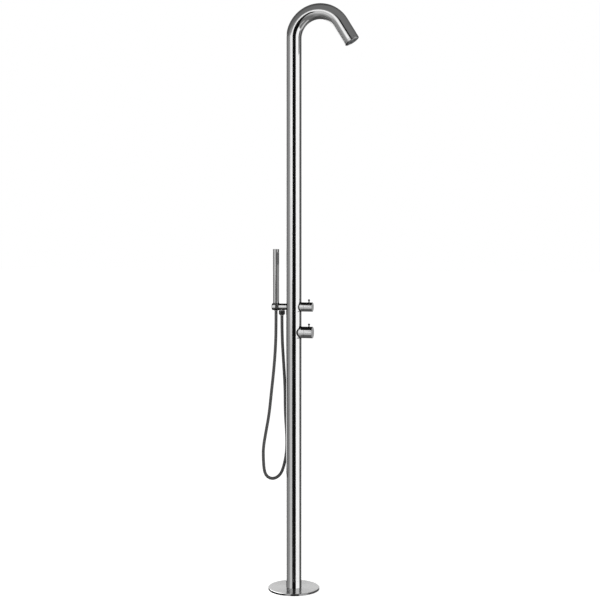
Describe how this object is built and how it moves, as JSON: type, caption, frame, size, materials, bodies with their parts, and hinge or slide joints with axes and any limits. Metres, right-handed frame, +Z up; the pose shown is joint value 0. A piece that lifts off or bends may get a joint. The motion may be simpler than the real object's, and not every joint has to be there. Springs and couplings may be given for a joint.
{
  "type": "outdoor shower post",
  "caption": "Free-standing outdoor shower post: a bent steel tube with a fixed head in its end, a mixer, a diverter and a stick handset on a hose.",
  "frame": {"origin": "on the post's axis at the floor, at the centre of the base flange's lower face", "axes": "+Z up along the post; +X the way the arch and the two knobs point, so the handset is at -X; +Y to the left of someone who looks along +X"},
  "size_m": [0.3726, 0.2, 2.276],
  "materials": {
    "satin_steel": "satin, finely brushed",
    "turned_steel": "satin, brushed in circles",
    "plain_steel": "plain machined",
    "polished_steel": "polished",
    "brass": "machined",
    "ceramic": "lapped ceramic",
    "seal_rubber": "matt",
    "nozzle_silicone": "matt grey",
    "cartridge_plastic": "moulded",
    "braided_hose": "braid over rubber",
    "hose_sleeve": "smooth dark grey sleeve"
  },
  "bodies": {
    "root": {"post_tube": "satin_steel", "holder_arm": "satin_steel", "holder_head": "satin_steel", "mixer_collar": "satin_steel", "diverter_collar": "satin_steel", "head_body": "satin_steel", "base_flange": "plain_steel", "inlet_plate": "plain_steel", "plate_screws": "plain_steel", "hose_nuts": "plain_steel", "inlet_locknuts": "plain_steel", "outlet_nut": "polished_steel", "spray_plate": "polished_steel", "cold_inlet": "brass", "hot_inlet": "brass", "mixer_body": "brass", "diverter_body": "brass", "mixer_retaining_nut": "brass", "diverter_retaining_nut": "brass", "link_pipe": "brass", "outlet_nipple": "brass", "outlet_ferrule": "brass", "mixer_fixed_disc": "ceramic", "diverter_fixed_disc": "ceramic", "mixer_base_seal": "seal_rubber", "diverter_base_seal": "seal_rubber", "link_rings": "seal_rubber", "outlet_washer": "seal_rubber", "head_ring": "seal_rubber", "nozzle_mat": "nozzle_silicone", "mixer_cartridge_shell": "cartridge_plastic", "diverter_cartridge_shell": "cartridge_plastic", "check_valves": "cartridge_plastic", "cold_supply_hose": "braided_hose", "hot_supply_hose": "braided_hose", "riser_hose": "braided_hose", "shower_hose": "hose_sleeve"},
    "floor_cover": {"floor_cover": "turned_steel", "cover_seal": "seal_rubber"},
    "mixer_control": {"mixer_knob": "satin_steel", "mixer_spindle": "brass", "mixer_moving_disc": "ceramic", "mixer_lever_pin": "polished_steel", "mixer_grub_screw": "plain_steel"},
    "diverter_control": {"diverter_knob": "satin_steel", "diverter_spindle": "brass", "diverter_moving_disc": "ceramic", "diverter_lever_pin": "polished_steel", "diverter_grub_screw": "plain_steel"},
    "hose_end": {"cone_nut": "polished_steel", "cone_ferrule": "brass", "cone_washer": "seal_rubber"},
    "handset": {"handset_body": "satin_steel", "handset_cap": "satin_steel", "handset_spray_plate": "polished_steel", "handset_nozzle_mat": "nozzle_silicone"}
  },
  "joints": [
    {"name": "cover_slide", "type": "slide", "parent": "root", "child": "floor_cover", "axis": [0, 0, 1], "range_m": [0, 0.2]},
    {"name": "mixer_turn", "type": "hinge", "parent": "root", "child": "mixer_control", "pos_m": [0.06, 0, 1.012], "axis": [1, 0, 0], "range_deg": [0, 125]},
    {"name": "diverter_turn", "type": "hinge", "parent": "root", "child": "diverter_control", "pos_m": [0.06, 0, 1.111], "axis": [1, 0, 0], "range_deg": [-90, 90]},
    {"name": "handset_lift", "type": "slide", "parent": "root", "child": "hose_end", "axis": [0, 0, 1], "range_m": [0, 0.045]},
    {"name": "handset_swivel", "type": "hinge", "parent": "hose_end", "child": "handset", "pos_m": [-0.072, 0, 1.13], "axis": [0, 0, 1], "continuous": true}
  ]
}
